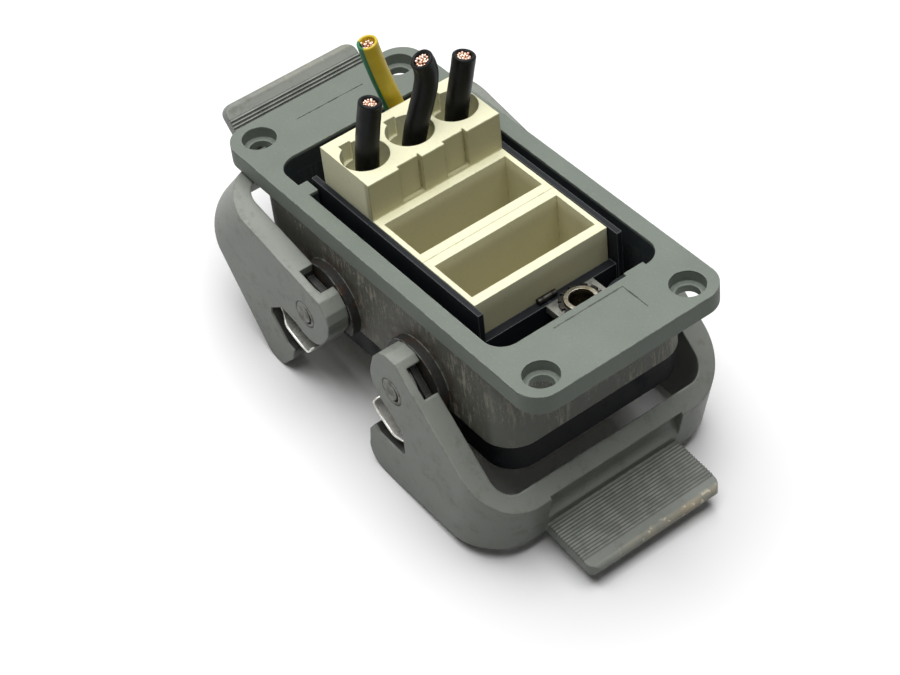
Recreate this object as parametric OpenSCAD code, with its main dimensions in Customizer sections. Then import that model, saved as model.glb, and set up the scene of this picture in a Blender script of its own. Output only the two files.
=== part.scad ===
// Heavy duty rectangular connector, bulkhead housing of size 10 with two locking levers.
// It lies with its panel flange up and its mating side down.
// Origin: centre of the flange's panel face. +X runs along the housing towards the closed
// lever, +Y across it and +Z out of the mating side and up. Millimetres.

/* [Modules] */
// Width of one module along the frame
pitch = 14.65; // [13.1:0.05:18]
// Width of the modules across the frame
module_w = 29.2; // [24:0.2:36]
// Height of the blank modules above the panel face
blank_top = 0.8; // [0:0.1:3]
// Height of the power module above the panel face
power_top = 9; // [6:0.5:14]
// Depth of the modules' mating face below the rim
mating_drop = 5; // [3:0.5:9]
// Thickness of a blank module's long walls
blank_wall = 2; // [1.2:0.1:3]
// Thickness of a blank module's short walls
blank_end_wall = 1; // [0.8:0.1:2]
// Wall between two wire wells
well_wall = 0.95; // [0.8:0.05:1.5]

/* [Module frame] */
// Thickness of the frame's side plates
plate_t = 1.1; // [0.8:0.1:1.4]
// Height of the side plates above the panel face
plate_top = 0.9; // [0:0.1:3]
// Depth of the end walls' top below the panel face
ledge_depth = 6.5; // [5:0.1:8]

/* [Housing] */
// Room for an earth terminal beyond each end of the frame
end_space = 9.075; // [8.6:0.025:12]
// Room between the frame and each long wall
side_space = 2.45; // [2.2:0.05:4]
// Thickness of the end walls
end_wall = 3.5; // [3.3:0.1:5]
// Thickness of the long walls
side_wall = 2.9; // [2.9:0.1:5]
// Outer corner radius of the walls
body_r = 6.5; // [5:0.5:8]
// Corner radius of the opening
window_r = 4; // [2:0.5:5]
// Depth from the panel face to the rim
rim_depth = 21; // [19:0.1:26]
// Height of the rubber seal below the rim
seal_h = 6; // [3:0.5:7]

/* [Flange] */
// Length of the flange beyond each end wall
flange_end = 10; // [9.5:0.5:16]
// Width of the flange beyond each long wall
flange_side = 0.4; // [0.4:0.1:2]
// Thickness of the flange
flange_t = 3.9; // [3:0.1:6]
// Corner radius of the flange
flange_r = 5; // [3:0.5:6]
// Distance of the mounting holes from the flange's ends
hole_end = 5; // [4.5:0.1:6]
// Distance of the mounting holes from the flange's long edges
hole_side = 5.6; // [4.5:0.1:6]
// Diameter of the mounting holes
hole_d = 4.5; // [4:0.1:5]
// Diameter of the sinkings above the mounting holes
sink_d = 6.6; // [6:0.1:7.5]
// Depth of the sinkings
sink_t = 2.4; // [1:0.1:2.8]

/* [Levers] */
// Distance of a lever's pivot from the outside of its end wall
pivot_in = 23.25; // [22:0.05:25]
// Wall between the pivot pins and the rim's groove
pin_wall = 0.85; // [0.85:0.05:2]
// Diameter of the pivot pins
pin_d = 5.5; // [4.5:0.1:6.6]
// Height of the bosses around the pivots
boss_h = 2; // [1.6:0.1:4]
// Thickness of a lever's arm
arm_t = 4.5; // [3.7:0.05:5.5]
// Metal of the ear around a pivot pin
ear_wall = 3.55; // [3.4:0.05:4]
// Clearance between the end walls and a closed lever's crossbar
bar_gap = 1.05; // [0.9:0.05:3]
// Distance from the pivot down to the arm's lower edge
arm_drop = 25.6; // [24:0.2:31]
// Angle by which the rear lever stands open
open_angle = 54; // [0:1:54]
// Width of the ribbed handle
handle_w = 30.3; // [20:0.1:34]
// Length of the ribbed handle beyond the crossbar
handle_l = 12.3; // [10:0.1:16]
// Number of ribs on the handle
rib_count = 14; // [6:1:16]

/* [Wires] */
// Diameter of the black wires
wire_d = 4.4; // [3.8:0.1:5.4]
// Diameter of the copper strands' bundle in a wire
core_d = 2.8; // [2.2:0.1:3.4]
// Diameter of the green and yellow earth wire
earth_d = 3.9; // [3.4:0.1:4.7]

/* [Hidden] */
$fn = 64;
e = 0.5;                      // overlap of cutting bodies beyond a face
run_gap = 0.05;               // radial running clearance of the levers on their pins
fit_gap = 0.02;               // clearance between pieces that are fitted together
near = -1;                    // the side towards -Y
far = 1;

// frame and modules
module_gap = 0.03;            // a module's clearance on each side
slack = 0.15;                 // play of the row of modules in the frame
frame_in = module_w/2 + slack;
frame_end = 1.5*pitch + slack;
end_t = 1.8;                  // end walls of the frame
base_t = 2;                   // base plate of the frame
frame_z = -13.5;              // where the base plate seats on the corner posts
split = 0.1;                  // half the gap between the frame's halves
mating_depth = rim_depth + mating_drop;
latch_z = -10;                // middle of the modules' catches
catch_l = 6;
catch_h = 3;
catch_out = 0.8;
power_x = -pitch;
well_edge = 0.15;             // wall beyond the outer wells
well_d = (module_w - 2*well_edge - 2*well_wall)/3;
well_pitch = well_d + well_wall;
well_floor = 2;
contact_d = well_d - 2.5;
contact_low = -mating_depth + 1.5;
chamber_d = core_d + 0.6;     // wire chamber of a contact
socket_d = 4;

// housing
window_l = 2*(frame_end + end_t + end_space);
window_w = 2*(frame_in + plate_t + side_space);
body_l = window_l + 2*end_wall;
body_w = window_w + 2*side_wall;
flange_l = body_l + 2*flange_end;
flange_w = body_w + 2*flange_side;
hole_x = flange_l - 2*hole_end;
hole_y = flange_w - 2*hole_side;
pivot_x = body_l/2 - pivot_in;
pivot_z = -rim_depth + pin_d/2 + pin_wall;
boss_y = body_w/2 + boss_h;   // faces of the pivot bosses
arm_in = boss_y + 0.3;        // inner faces of a lever's arms
lever_w = 2*(arm_in + arm_t);
pin_root = body_w/2 - 1.8;    // inner ends of the pivot pins
seal_in = 0.6;                // step from the walls' outside to the seal
seal_t = 2.3;
ridge_t = 1.3;                // ridge of the seal that sits in the rim's groove
groove_t = 0.8;
boss_r = 8;                   // pivot bosses
post_d = 7.4;                 // corner posts for the frame's screws
post_h = 4.5;
line_t = 0.15;                // shallow lines cut in the panel face
line_w = 0.3;
line_y = 7.6;                 // half the length of a line
line_in = 1.4;                // distance of the front line from the window
line_out = 5.1;               // and of the rear line from the flange's edge

// frame plates and screws
plate_l = 2*(frame_end + end_t) + 1.2;
base_l = window_l - 1.6;
base_w = window_w - 2;
screw_d = 4;
screw_x = window_l - 9;
screw_y = window_w - 9.6;

// earth terminals
earth_y = 4.1;                // middle of the earth plates
earth_w = 10.6;
earth_l = end_space - 1.675;
earth_t = 1.5;
collar_x = frame_end + end_t + earth_l/2 - 0.4;
collar_d = 6.2;
collar_bore = 4.6;
clamp_at = [-collar_x - 0.8, earth_y - 2];   // axis of the rear terminal's screw
clamp_z = 1.2;                // underside of its saddle above the plate
saddle_t = 0.8;
head_d = 5.6;                 // head of its screw
earth_at = [-frame_end - end_t - 1.475, clamp_at[1] + head_d/2 + earth_d/2 - 0.55];

// lever profile around the pivot, closed: u outwards along the housing, w upwards
top_u = 2;
top_w = 8.2;
bar_t = 2.9;                  // thickness of the crossbar at its top
bar_w = -15;                  // height of the crossbar's outer top edge
ear_r = pin_d/2 + ear_wall;
bar_reach = pivot_in + bar_gap;              // from the pivot to the crossbar's inner face
bar_u = bar_reach + bar_t;
bar_lean = 14;                // lean of the crossbar's walls towards the housing
bar_foot = bar_u - (arm_drop + bar_w)*tan(bar_lean);
prong_r = 4.1;
prong_u = -10.3;              // tip side of the prong
slot_u = 1.6;                 // closed end of the hook slot
slot_low = -15.8;
slot_high = -9.4;
mouth_w = -14.1;
skin_t = 1.6;                 // outer wall of the hollow ear
pocket_t = 1.6;               // space for the spring
lug_u = 3.2;                  // end of the lug that bridges the ear's walls
notch_u = 7.8;
corner_r = 10.2;              // outer corners of the lever in plan
corner_in = 4;
handle_t = 2.3;
handle_u = bar_foot + 0.8;    // where the ribbed face starts
handle_drop = 1.6;            // fall of the handle along its length
handle_w0 = -arm_drop + handle_t;
rib_pitch = 0.66;
rib_h = 0.35;
hollow_r = 5;                 // hollow above the handle
spring_t = 0.55;
spring_w = pocket_t - 0.3;

// wire routes: start, two pulls and end of a smooth curve
steps = 14;                   // stretches along a wire
sides = 16;                   // and faces around it
wire_low = well_floor + 0.2;
core_low = -5.2;
near_route = [[power_x, -well_pitch, wire_low], [power_x, -well_pitch, 8],
              [power_x + 0.55, -well_pitch + 1.05, 15],
              [power_x + 0.75, -well_pitch + 2.15, 20.4]];
mid_route = [[power_x, 0.2, wire_low], [power_x, 0.2, 11],
             [power_x + 1.35, 6.4, 18], [power_x + 1.05, 3.4, 23.7]];
far_route = [[power_x, well_pitch, wire_low], [power_x, well_pitch, 8],
             [power_x + 0.75, well_pitch + 1.65, 14],
             [power_x + 0.95, well_pitch + 2.75, 19.7]];
earth_low = -ledge_depth + clamp_z + saddle_t + 0.5;
earth_route = [[earth_at[0], earth_at[1], earth_low], [earth_at[0], earth_at[1], 0.5],
               [earth_at[0] - 0.1, earth_at[1] - 4, 11],
               [earth_at[0] - 0.1, earth_at[1] - 6.1, 22.6]];

function bezier(p, t) = pow(1 - t, 3)*p[0] + 3*pow(1 - t, 2)*t*p[1]
                      + 3*(1 - t)*t*t*p[2] + pow(t, 3)*p[3];
function slope(p, t) = 3*pow(1 - t, 2)*(p[1] - p[0]) + 6*(1 - t)*t*(p[2] - p[1])
                     + 3*t*t*(p[3] - p[2]);
function unit(v) = v/norm(v);

module rounded(l, w, r) {
    square([l - 2*r, w], center = true);
    square([l, w - 2*r], center = true);
    for (x = [-1, 1], y = [-1, 1])
        translate([x*(l/2 - r), y*(w/2 - r)]) circle(r);
}

module slab(l, w, r, z0, z1) {
    translate([0, 0, z0]) linear_extrude(z1 - z0) rounded(l, w, r);
}

module bore(x, y, d, z0, z1) {
    translate([x, y, z0]) cylinder(d = d, h = z1 - z0);
}

module box(x0, x1, y0, y1, z0, z1) {
    translate([x0, y0, z0]) cube([x1 - x0, y1 - y0, z1 - z0]);
}

// Ring of a wire around a centre, square to a direction.
function ring(c, dir, d) = let (a = unit(cross([0, 1, 0], dir)), b = cross(dir, a))
    [for (k = [0 : sides - 1]) c + d/2*(cos(360*k/sides)*a + sin(360*k/sides)*b)];

// A tube of round section along a wire route, with flat ends and, where asked for, a
// straight length before the start and after the end.
module sweep(route, d, before, after) {
    from = unit(slope(route, 0));
    to = unit(slope(route, 1));
    rings = concat(before > 0 ? [ring(route[0] - before*from, from, d)] : [],
        [for (i = [0 : steps]) ring(bezier(route, i/steps), unit(slope(route, i/steps)), d)],
        after > 0 ? [ring(route[3] + after*to, to, d)] : []);
    last = len(rings) - 1;
    polyhedron(
        points = [for (r = rings) each r],
        faces = concat(
            [[for (k = [0 : sides - 1]) k]],
            [for (i = [0 : last - 1], k = [0 : sides - 1])
                [i*sides + k, (i + 1)*sides + k,
                 (i + 1)*sides + (k + 1)%sides, i*sides + (k + 1)%sides]],
            [[for (k = [sides - 1 : -1 : 0]) last*sides + k]]));
}

// ---------------------------------------------------------------- housing

module housing_shell() {
    color("#8a918b") difference() {
        union() {
            slab(flange_l, flange_w, flange_r, -flange_t, 0);
            slab(body_l, body_w, body_r, -rim_depth, -flange_t + e);
            for (x = [-pivot_x, pivot_x], y = [near, far]) pivot_boss(x, y);
        }
        difference() {
            slab(window_l, window_w, window_r, -rim_depth - e, e);
            for (x = [-1, 1], y = [-1, 1]) frame_boss(x, y);
            guide_ribs();
        }
        for (x = [-1, 1], y = [-1, 1]) {
            bore(x*hole_x/2, y*hole_y/2, hole_d, -flange_t - e, e);
            bore(x*hole_x/2, y*hole_y/2, sink_d, -sink_t, e);
            bore(x*screw_x/2, y*screw_y/2, screw_d + 2*fit_gap, frame_z - e,
                frame_z + post_h - 0.9);
        }
        face_lines();
        for (x = [-pivot_x, pivot_x], y = [near, far])
            translate([x, y*pin_root, pivot_z]) rotate([-90*y, 0, 0])
                cylinder(d = pin_d + 2*fit_gap, h = boss_y - pin_root + e);
        seal_ring(-rim_depth - e, -rim_depth + groove_t, seal_in, ridge_t);
    }
}

// Round boss on a long wall, with a flat foot that reaches down to the rim.
module pivot_boss(x, side) {
    intersection() {
        translate([x, side*(body_w/2 - 1), pivot_z]) rotate([-90*side, 0, 0])
            cylinder(r = boss_r, h = boss_y - body_w/2 + 1);
        box(x - boss_r, x + boss_r, -lever_w/2, lever_w/2, -rim_depth, 0);
    }
}

// Corner post inside the housing that a frame screw goes into.
module frame_boss(x, y) {
    intersection() {
        slab(window_l + 1, window_w + 1, window_r, frame_z, frame_z + post_h);
        union() {
            bore(x*screw_x/2, y*screw_y/2, post_d, frame_z, frame_z + post_h);
            translate([x*(screw_x/2 + 5), y*screw_y/2, frame_z + post_h/2])
                cube([10, post_d, post_h], center = true);
            translate([x*screw_x/2, y*(screw_y/2 + 5), frame_z + post_h/2])
                cube([post_d, 10, post_h], center = true);
        }
    }
}

// Ribs that guide the module frame into the housing.
module guide_ribs() {
    box(-frame_end - 3.275, -frame_end + 0.125, -window_w/2 - e,
        -window_w/2 + side_space - 0.5, frame_z + base_t, 0);
    box(window_l/2 - 0.8, window_l/2 + e, 9.7, 14, frame_z + 4, 0);
}

// Straight lines in the panel face: one at the rear and a corner of two in front.
module face_lines() {
    front = window_l/2 + line_in;
    rear = -flange_l/2 + line_out;
    box(rear, rear + line_w, -line_y, line_y, -line_t, e);
    box(front, front + line_w, -line_y, line_y, -line_t, e);
    box(front, front + 6.8, line_y - line_w, line_y, -line_t, e);
}

// Ring along the walls, a step in from their outside and t thick.
module seal_ring(z0, z1, step, t) {
    difference() {
        slab(body_l - 2*step, body_w - 2*step, body_r - step, z0, z1);
        slab(body_l - 2*(step + t), body_w - 2*(step + t), body_r - step - t, z0 - e, z1 + e);
    }
}

module rim_seal() {
    play = 0.05;
    color("#15171a") union() {
        seal_ring(-rim_depth - seal_h, -rim_depth, seal_in, seal_t);
        seal_ring(-rim_depth - e, -rim_depth + groove_t - play, seal_in + play,
                  ridge_t - 2*play);
    }
}

// Pivot pin with a crescent pressed into its head.
module pivot_pin(x, side) {
    head = lever_w/2 + 0.1;
    edge = 0.25;
    crescent_r = pin_d/2 - 0.7;
    color("#8d8f8c") translate([x, 0, pivot_z]) rotate([-90*side, 0, 0]) difference() {
        rotate_extrude() polygon([[0, pin_root], [pin_d/2, pin_root],
            [pin_d/2, head - edge], [pin_d/2 - edge, head], [0, head]]);
        difference() {
            translate([0, 0, head - 0.5]) cylinder(r = crescent_r, h = 1);
            translate([-0.6, 0, head - 1]) cylinder(r = crescent_r, h = 2);
        }
    }
}

module pivot_pin_front_near() { pivot_pin(pivot_x, near); }
module pivot_pin_front_far() { pivot_pin(pivot_x, far); }
module pivot_pin_rear_near() { pivot_pin(-pivot_x, near); }
module pivot_pin_rear_far() { pivot_pin(-pivot_x, far); }

// ---------------------------------------------------------------- levers

// Side outline of a lever around its pivot, without the handle.
module lever_outline() {
    circle(ear_r);
    translate([prong_u + prong_r, -arm_drop + prong_r]) circle(prong_r);
    polygon([[-0.9, top_w + 0.1], [top_u, top_w], [bar_u, bar_w], [bar_u, -arm_drop],
             [prong_u + prong_r, -arm_drop],
             [prong_u, -arm_drop + prong_r], [prong_u + 0.9, mouth_w - 2.4],
             [prong_u + 2.7, mouth_w], [prong_u + 4.2, slot_low + 0.4],
             [slot_u - 1.2, slot_low], [slot_u, slot_low + 1.2], [slot_u, slot_high],
             [-2, -sqrt(ear_r*ear_r - 4)], [0, 0], [-ear_r + 0.3, 1.9],
             [-4.7, 5.4], [-2.8, 7.5]]);
}

// A block open towards the pivots, with two rounded corners at its end.
module round_end(end, half, r) {
    translate([-40, -half]) square([40 + end - r, 2*half]);
    translate([-40, -half + r]) square([40 + end, 2*(half - r)]);
    for (y = [-1, 1]) translate([end - r, y*(half - r)]) circle(r);
}

// The walls of a lever: two arms and a crossbar, leaning with the crossbar.
module lever_walls() {
    outside = bar_u*cos(bar_lean) - bar_w*sin(bar_lean);
    inside = bar_reach*cos(bar_lean) - (bar_w + bar_t)*sin(bar_lean);
    rotate([0, bar_lean, 0]) translate([0, 0, -50]) linear_extrude(100) difference() {
        round_end(outside, lever_w/2, corner_r);
        round_end(inside, arm_in, corner_in);
    }
}

// Ribbed plate with a rounded lip, seen from the side.
module handle_outline() {
    fall = handle_drop/handle_l;
    lip_r = handle_t/2;
    ribs_u = handle_u + 0.5;
    polygon(concat(
        [[handle_u - 1, handle_w0 + fall], [handle_u, handle_w0]],
        [for (i = [0 : rib_count - 1], k = [0 : 2])
            let (u = ribs_u + (i + [0, 0.35, 0.7][k])*rib_pitch)
            [u, handle_w0 - fall*(u - handle_u) + (k == 1 ? rib_h : 0)]],
        [[handle_u + handle_l - lip_r, handle_w0 - handle_drop],
         [handle_u + handle_l - lip_r, handle_w0 - handle_drop - handle_t],
         [handle_u, handle_w0 - handle_t], [handle_u - 1, handle_w0 - handle_t]]));
    translate([handle_u + handle_l - lip_r, handle_w0 - handle_drop - lip_r]) circle(lip_r);
}

// Space between the ear's two walls, where the spring lies.
module pocket_outline() {
    circle(ear_r - 0.9);
    polygon([[-2, -4], [5.4, -1], [4.2, -10], [3.4, -17.2], [-7.6, -17.6], [-9, -13], [-4, -10]]);
    polygon([[2.4, 4.6], [lug_u, 6.2], [notch_u - 0.8, 2.8], [5, -2.4], [0, 0]]);
}

// Opening in the upper edge behind the lug, down to the outer wall.
module notch_outline() {
    polygon([[lug_u, 9], [lug_u, 6.9], [1.6, 4.9], [5.8, 0.6], [notch_u, 2.7], [notch_u + 2, 5]]);
}

module upright(y0, y1) {
    translate([0, y1, 0]) rotate([90, 0, 0]) linear_extrude(y1 - y0) children();
}

// A lever in its closed position, with its pivot axis at the origin.
module lever() {
    skin = lever_w/2 - skin_t;
    color("#7c7d78") difference() {
        union() {
            intersection() {
                upright(-lever_w, lever_w) lever_outline();
                lever_walls();
            }
            intersection() {
                upright(-handle_w/2, handle_w/2) handle_outline();
                translate([0, 0, -50]) linear_extrude(100)
                    translate([handle_u + handle_l - 20, 0]) rounded(40, handle_w, 2.2);
            }
        }
        for (s = [-1, 1]) {
            pocket = [s*skin, s*(skin - pocket_t)];
            upright(min(pocket), max(pocket)) pocket_outline();
            notch = [s*skin, s*(arm_in - e)];
            upright(min(notch), max(notch)) notch_outline();
        }
        rotate([90, 0, 0]) cylinder(d = pin_d + 2*run_gap, h = lever_w + 2, center = true);
        // hollow in the crossbar's outer face, for the fingertips
        translate([bar_foot + 0.3 + hollow_r, 0, handle_w0 + hollow_r - 0.3]) rotate([90, 0, 0])
            cylinder(r = hollow_r, h = handle_w, center = true);
    }
}

module spring_strip(points) {
    for (i = [0 : len(points) - 1]) translate(points[i]) circle(spring_t/2, $fn = 24);
    for (i = [0 : len(points) - 2]) {
        run = points[i + 1] - points[i];
        translate(points[i]) rotate(atan2(run[1], run[0]))
            translate([0, -spring_t/2]) square([norm(run), spring_t]);
    }
}

// Bent steel spring in an ear: it leans on the lug, passes the pin and springs into the slot.
module spring(side) {
    turn_r = pin_d/2 + 1.4;
    y0 = lever_w/2 - skin_t - 0.15 - spring_w;
    color("#c8cacb") upright(min(side*y0, side*(y0 + spring_w)), max(side*y0, side*(y0 + spring_w)))
        spring_strip(concat([[1.2, turn_r + 0.65]],
            [for (a = [60 : -15 : -45]) turn_r*[cos(a), sin(a)]],
            [[1.9, -8.2], [0.6, -10.4], [-3.6, -11.4], [-7.2, -10.2], [-7.9, -8.6], [-7, -7.4]]));
}

module front_place() { translate([pivot_x, 0, pivot_z]) children(); }
module rear_place() {
    translate([-pivot_x, 0, pivot_z]) rotate([0, open_angle, 0]) mirror([1, 0, 0]) children();
}

module front_lever() { front_place() lever(); }
module rear_lever() { rear_place() lever(); }
module front_lever_spring_near() { front_place() spring(near); }
module front_lever_spring_far() { front_place() spring(far); }
module rear_lever_spring_near() { rear_place() spring(near); }
module rear_lever_spring_far() { rear_place() spring(far); }

// ---------------------------------------------------------------- module frame

// One long half of the hinged frame: side plate, half of each end wall and of the base.
module frame_half(side) {
    outer = frame_in + plate_t;
    color("#6f7371") mirror([0, side < 0 ? 1 : 0, 0]) difference() {
        union() {
            box(-plate_l/2, plate_l/2, frame_in, outer, frame_z - base_t, plate_top);
            for (x = [-1, 1]) {
                ends = [x*frame_end, x*(frame_end + end_t)];
                box(min(ends), max(ends), split, frame_in + e, frame_z - base_t, -ledge_depth);
            }
            intersection() {
                slab(base_l, base_w, 3, frame_z - base_t, frame_z);
                difference() {
                    box(-base_l, base_l, split, base_w, frame_z - 2*base_t, frame_z + base_t);
                    box(-frame_end - e, frame_end + e, -e, frame_in + e,
                        frame_z - 2*base_t, frame_z + 2*base_t);
                }
            }
        }
        for (i = [-1 : 1])
            box(i*pitch - catch_l/2, i*pitch + catch_l/2, frame_in - e, outer + e,
                latch_z - catch_h/2, latch_z + catch_h/2);
        for (x = [-1, 1])
            bore(x*screw_x/2, screw_y/2, screw_d + 0.3, frame_z - 2*base_t, frame_z + base_t);
    }
}

module frame_half_near() { frame_half(near); }
module frame_half_far() { frame_half(far); }

// Short bars across the gap between the halves: a hinge at the rear and a latch in front.
module frame_bar(x) {
    color("#3c3e3f") translate([x, 0, -ledge_depth + 0.62]) rotate([90, 0, 0])
        cylinder(d = 1.2, h = 4, center = true);
}

module frame_latch() { frame_bar(frame_end + 0.65); }
module frame_hinge() { frame_bar(-frame_end - 0.65); }

module frame_screws() {
    head_z = frame_z - base_t;
    color("#b9bbb8") for (x = [-1, 1], y = [-1, 1])
        translate([x*screw_x/2, y*screw_y/2, 0]) difference() {
            union() {
                bore(0, 0, screw_d, head_z - 0.2, frame_z + 3.4);
                bore(0, 0, 6.4, head_z - 2, head_z);
            }
            box(-0.5, 0.5, -4, 4, head_z - 2 - e, head_z - 1);
        }
}

// ---------------------------------------------------------------- earth terminals

// Plate that carries an earth terminal beyond a frame's end wall.
module earth_plate(x, hole_at, hole) {
    inner = frame_end + end_t;
    color("#a9aba6") difference() {
        box(min(x*inner, x*(inner + earth_l)), max(x*inner, x*(inner + earth_l)),
            earth_y - earth_w/2, earth_y + earth_w/2, -ledge_depth - earth_t, -ledge_depth);
        bore(hole_at[0], hole_at[1], hole + 2*fit_gap, -ledge_depth - 2*earth_t, 0);
    }
}

module earth_plate_front() { earth_plate(1, [collar_x, earth_y], collar_d); }
module earth_plate_rear() { earth_plate(-1, clamp_at, screw_d); }

// Threaded collar of the free terminal.
module earth_collar_front() {
    color("#cfcfc8") difference() {
        bore(collar_x, earth_y, collar_d, -ledge_depth - 4.5, -ledge_depth + 0.9);
        bore(collar_x, earth_y, collar_bore, -ledge_depth - 4, 0);
    }
}

// Toothed lock washer around the collar.
module earth_washer_front() {
    teeth = 12;
    color("#8f918d") difference() {
        bore(collar_x, earth_y, collar_d + 2, -ledge_depth, -ledge_depth + 0.5);
        bore(collar_x, earth_y, collar_d + 2*fit_gap, -ledge_depth - e, 0);
        for (i = [0 : teeth - 1])
            translate([collar_x, earth_y, 0]) rotate(360*i/teeth)
                box(collar_d/2 + 0.45, collar_d, -0.35, 0.35, -ledge_depth - e, 0);
    }
}

module earth_screw_rear() {
    seat = clamp_z + saddle_t;
    color("#c4c5c0") translate([clamp_at[0], clamp_at[1], -ledge_depth]) difference() {
        union() {
            bore(0, 0, screw_d, -4.5, seat + 0.2);
            bore(0, 0, head_d, seat, seat + 1.6);
        }
        box(-0.5, 0.5, -3, 3, seat + 0.8, seat + 2);
    }
}

// Saddle that holds the earth wire's strands on the plate, with a notch for them.
module earth_saddle_rear() {
    color("#b4b5ae") difference() {
        box(clamp_at[0] - 2.6, earth_at[0] + 1, clamp_at[1] - 2.6, earth_at[1] + 1.8,
            -ledge_depth + clamp_z, -ledge_depth + clamp_z + saddle_t);
        bore(clamp_at[0], clamp_at[1], screw_d + 2*fit_gap, -ledge_depth, 0);
        bore(earth_at[0], earth_at[1], core_d, -ledge_depth, 0);
    }
}

// ---------------------------------------------------------------- modules

// Outer body of a module between the frame's side plates, with its two catches.
module module_block(i, top) {
    half = pitch/2 - module_gap;
    box(i*pitch - half, i*pitch + half, -module_w/2, module_w/2, frame_z - base_t - 1, top);
    box(i*pitch - half + 0.4, i*pitch + half - 0.4, -module_w/2 + 0.8, module_w/2 - 0.8,
        -mating_depth, top - 1);
    for (y = [-1, 1])
        translate([i*pitch, y*(module_w/2), latch_z])
            cube([catch_l - 0.6, 2*catch_out, catch_h - 0.6], center = true);
}

module power_module_body() {
    face = power_x + pitch/2 - module_gap;
    color("#e9e6cc") difference() {
        module_block(-1, power_top);
        for (i = [-1 : 1]) {
            y = i*well_pitch;
            bore(power_x, y, well_d, well_floor, power_top + e);
            box(power_x - well_d/2 - 0.6, power_x, y - 2.2, y + 0.2, well_floor + 3, power_top + e);
            bore(power_x, y, contact_d + 2*fit_gap, -mating_depth - e, well_floor + e);
        }
        // shallow recesses and parting grooves in the face above the blank modules
        for (y = [-7.8, 2.2]) {
            box(face - 0.8, face + e, y, y + 4.7, blank_top + 0.4, power_top + e);
            box(face - 1.2, face + e, y + 4.6, y + 5, blank_top + 0.4, power_top + e);
        }
    }
}

module blank_module(i) {
    half = pitch/2 - module_gap;
    color("#ece9cf") difference() {
        module_block(i, blank_top);
        box(i*pitch - half + blank_wall, i*pitch + half - blank_wall,
            -module_w/2 + blank_end_wall, module_w/2 - blank_end_wall,
            -mating_depth + 2.2, blank_top + e);
    }
}

module blank_module_mid() { blank_module(0); }
module blank_module_front() { blank_module(1); }

// Female contact: wire chamber above, socket below.
module contact(i) {
    color("#c9b37a") translate([power_x, i*well_pitch, 0]) difference() {
        bore(0, 0, contact_d, contact_low, well_floor);
        bore(0, 0, chamber_d, contact_low + 11, well_floor + e);
        bore(0, 0, socket_d, contact_low - e, contact_low + 9);
        bore(0, 0, 2.6, contact_low, contact_low + 12);
    }
}

module contact_near() { contact(-1); }
module contact_mid() { contact(0); }
module contact_far() { contact(1); }

// Pointed screw that spreads the strands inside a contact.
module axial_screw(i) {
    foot = contact_low + 11;
    color("#d0d0cc") translate([power_x, i*well_pitch, foot])
        rotate_extrude() polygon([[0, 0], [chamber_d/2 - fit_gap, 0],
            [chamber_d/2 - fit_gap, 5], [0.2, core_low - foot - 0.1],
            [0, core_low - foot - 0.1]]);
}

module axial_screw_near() { axial_screw(-1); }
module axial_screw_mid() { axial_screw(0); }
module axial_screw_far() { axial_screw(1); }

// ---------------------------------------------------------------- wires

module insulation(route, d) {
    difference() {
        sweep(route, d, 0, 0);
        sweep(route, core_d, e, e);
    }
}

module black_wire(route) {
    color("#1a1b1c") insulation(route, wire_d);
}

module black_wire_near() { black_wire(near_route); }
module black_wire_mid() { black_wire(mid_route); }
module black_wire_far() { black_wire(far_route); }

// Copper strands of a wire, from their clamp to the cut face.
module core(route, low) {
    color("#c98a5a") sweep(route, core_d - 0.1, route[0][2] - low, 0);
}

module wire_core_near() { core(near_route, core_low); }
module wire_core_mid() { core(mid_route, core_low); }
module wire_core_far() { core(far_route, core_low); }

module earth_wire() {
    color("#c9b224") insulation(earth_route, earth_d);
}

module earth_wire_core() { core(earth_route, -ledge_depth); }

housing_shell();
rim_seal();
pivot_pin_front_near();
pivot_pin_front_far();
pivot_pin_rear_near();
pivot_pin_rear_far();
front_lever();
rear_lever();
front_lever_spring_near();
front_lever_spring_far();
rear_lever_spring_near();
rear_lever_spring_far();
frame_half_near();
frame_half_far();
frame_latch();
frame_hinge();
frame_screws();
earth_plate_front();
earth_collar_front();
earth_washer_front();
earth_plate_rear();
earth_saddle_rear();
earth_screw_rear();
power_module_body();
contact_near();
contact_mid();
contact_far();
axial_screw_near();
axial_screw_mid();
axial_screw_far();
blank_module_mid();
blank_module_front();
black_wire_near();
black_wire_mid();
black_wire_far();
wire_core_near();
wire_core_mid();
wire_core_far();
earth_wire();
earth_wire_core();
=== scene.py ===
# %% [markdown]
# # A heavy duty rectangular connector
#
# Machines that plug together with a lever use this kind of connector: a die-cast housing
# bolted behind a panel, two levers that pull the mating hood down, and inside it a metal
# frame of plastic modules. The construction is already finished as solids. In Blender we
# give each piece its surface, replace the plain wires with real looking ones, and light it.

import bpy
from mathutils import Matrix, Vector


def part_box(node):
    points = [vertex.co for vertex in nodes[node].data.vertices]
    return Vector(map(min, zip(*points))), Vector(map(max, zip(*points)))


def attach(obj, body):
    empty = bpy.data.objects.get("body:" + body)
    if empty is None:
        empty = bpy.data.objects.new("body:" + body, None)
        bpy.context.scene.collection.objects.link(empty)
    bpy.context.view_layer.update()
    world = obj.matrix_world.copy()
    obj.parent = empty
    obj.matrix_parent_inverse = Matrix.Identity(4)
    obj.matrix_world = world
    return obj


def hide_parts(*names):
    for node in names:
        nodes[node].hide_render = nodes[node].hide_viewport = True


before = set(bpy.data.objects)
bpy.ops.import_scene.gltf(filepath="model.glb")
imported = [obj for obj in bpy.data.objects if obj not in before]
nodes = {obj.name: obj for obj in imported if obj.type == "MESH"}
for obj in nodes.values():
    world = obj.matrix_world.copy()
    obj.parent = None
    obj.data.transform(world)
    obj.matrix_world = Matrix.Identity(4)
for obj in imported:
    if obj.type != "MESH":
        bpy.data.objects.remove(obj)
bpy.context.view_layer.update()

# %% What the other cells need
import math

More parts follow.
